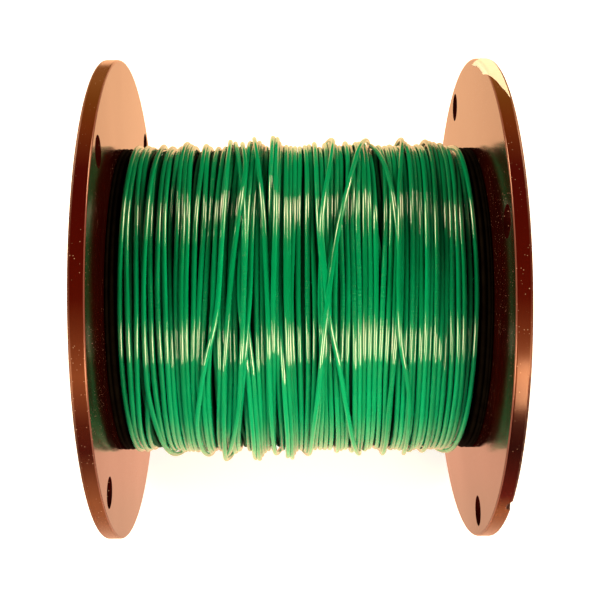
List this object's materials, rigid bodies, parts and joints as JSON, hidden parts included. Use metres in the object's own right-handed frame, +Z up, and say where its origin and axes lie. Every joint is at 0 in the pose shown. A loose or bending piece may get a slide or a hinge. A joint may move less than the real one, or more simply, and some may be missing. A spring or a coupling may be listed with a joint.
{
  "type": "wire spool",
  "caption": "Round plastic spool with two ribbed flanges on a hollow barrel, wound with thin green insulated wire.",
  "frame": {"origin": "middle of the arbor bore, halfway between the flanges", "axes": "+X along the arbor towards the taped flange, +Z up with the spool lying on its rims, -Y towards the viewer"},
  "size_m": [0.129, 0.165, 0.1653],
  "materials": {
    "flange_plastic": "glossy moulded styrene, very dark red-brown",
    "wire_insulation": "green extruded PVC, glossy with fine lumps",
    "copper": "bare drawn copper strands",
    "paper_tape": "pale yellow crepe paper tape, blank"
  },
  "bodies": {
    "root": {"left_flange": "flange_plastic", "right_flange": "flange_plastic", "barrel": "flange_plastic", "inner_windings": "wire_insulation", "outer_turns": "wire_insulation", "start_end": "wire_insulation", "conductor_strands": "copper", "tape_patch": "paper_tape"}
  },
  "joints": []
}
